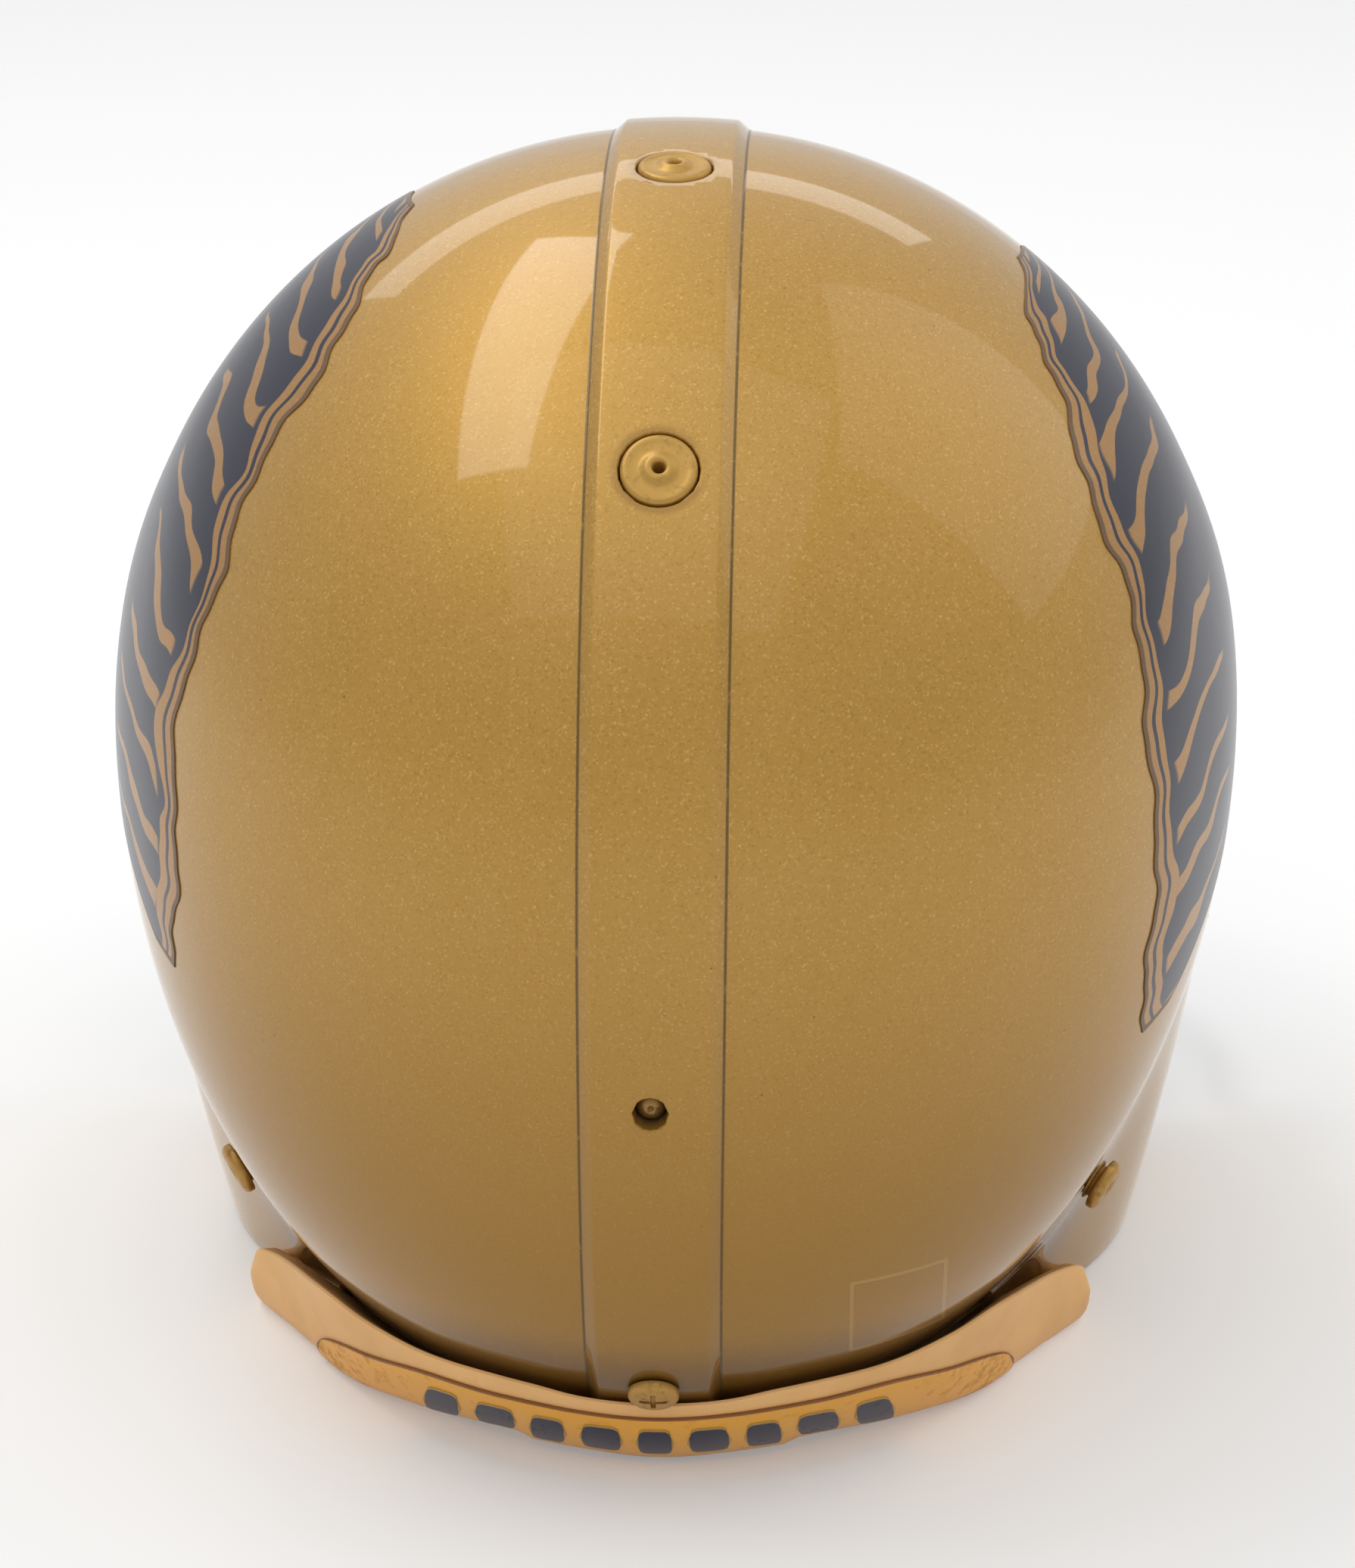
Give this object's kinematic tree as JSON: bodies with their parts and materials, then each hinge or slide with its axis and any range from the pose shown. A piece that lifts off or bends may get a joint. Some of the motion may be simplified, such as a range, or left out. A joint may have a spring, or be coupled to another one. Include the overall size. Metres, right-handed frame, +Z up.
{
  "type": "football helmet",
  "caption": "American football helmet: ridged moulded shell, wire face guard held by clips, rubber bumpers, inner liner pads and jaw pads that pull off their studs.",
  "frame": {"origin": "centre of the bounding box at the level of the floor that the helmet stands on", "axes": "+Z up, -Y out of the face opening, +X to the wearer's left"},
  "size_m": [0.2416, 0.3176, 0.2473],
  "materials": {
    "shell_gold": "metal-flake paint under clear coat",
    "valve_gold": "painted moulded rubber, satin",
    "brass_rivet": "dull",
    "gold_screw": "painted over with the shell's colour",
    "steel_screw": "zinc plated",
    "steel_nut": "zinc plated",
    "tan_rubber": "matt",
    "guard_coat": "thick dip coat, near black navy",
    "clear_strap": "clear, amber with age",
    "liner_vinyl": "vinyl skin over foam and air cells",
    "front_vinyl": "vinyl skin over foam",
    "jaw_vinyl": "pale vinyl skin over foam"
  },
  "bodies": {
    "helmet": {"shell": "shell_gold", "crown_valve": "valve_gold", "rear_valve": "valve_gold", "back_rivet": "brass_rivet", "rear_bumper": "tan_rubber", "rear_bumper_screw": "gold_screw", "rear_bumper_nut": "steel_nut", "front_bumper": "tan_rubber", "guard_chin_bar": "guard_coat", "guard_mouth_bar": "guard_coat", "guard_brow_bar": "guard_coat", "crown_liner": "liner_vinyl", "back_liner": "liner_vinyl", "front_pad": "front_vinyl", "front_bumper_screw_left": "gold_screw", "front_bumper_nut_left": "steel_nut", "strap_stud_upper_left": "brass_rivet", "strap_stud_nut_upper_left": "steel_nut", "strap_stud_lower_left": "brass_rivet", "strap_stud_nut_lower_left": "steel_nut", "guard_centre_post_left": "guard_coat", "guard_side_post_left": "guard_coat", "side_clip_left": "clear_strap", "side_clip_screw_left": "steel_screw", "side_clip_nut_left": "steel_nut", "brow_clip_left": "clear_strap", "brow_clip_screw_left": "steel_screw", "brow_clip_nut_left": "steel_nut", "neck_pad_left": "liner_vinyl", "side_liner_left": "liner_vinyl", "front_bumper_screw_right": "gold_screw", "front_bumper_nut_right": "steel_nut", "strap_stud_upper_right": "brass_rivet", "strap_stud_nut_upper_right": "steel_nut", "strap_stud_lower_right": "brass_rivet", "strap_stud_nut_lower_right": "steel_nut", "guard_centre_post_right": "guard_coat", "guard_side_post_right": "guard_coat", "side_clip_right": "clear_strap", "side_clip_screw_right": "steel_screw", "side_clip_nut_right": "steel_nut", "brow_clip_right": "clear_strap", "brow_clip_screw_right": "steel_screw", "brow_clip_nut_right": "steel_nut", "neck_pad_right": "liner_vinyl", "side_liner_right": "liner_vinyl"},
    "jaw_pad_left": {"jaw_pad_left": "jaw_vinyl"},
    "jaw_pad_right": {"jaw_pad_right": "jaw_vinyl"}
  },
  "joints": [
    {"name": "jaw_pad_left_pull", "type": "slide", "parent": "helmet", "child": "jaw_pad_left", "axis": [-1, 0, 0], "range_m": [0, 0.012]},
    {"name": "jaw_pad_right_pull", "type": "slide", "parent": "helmet", "child": "jaw_pad_right", "axis": [1, 0, 0], "range_m": [0, 0.012]}
  ]
}
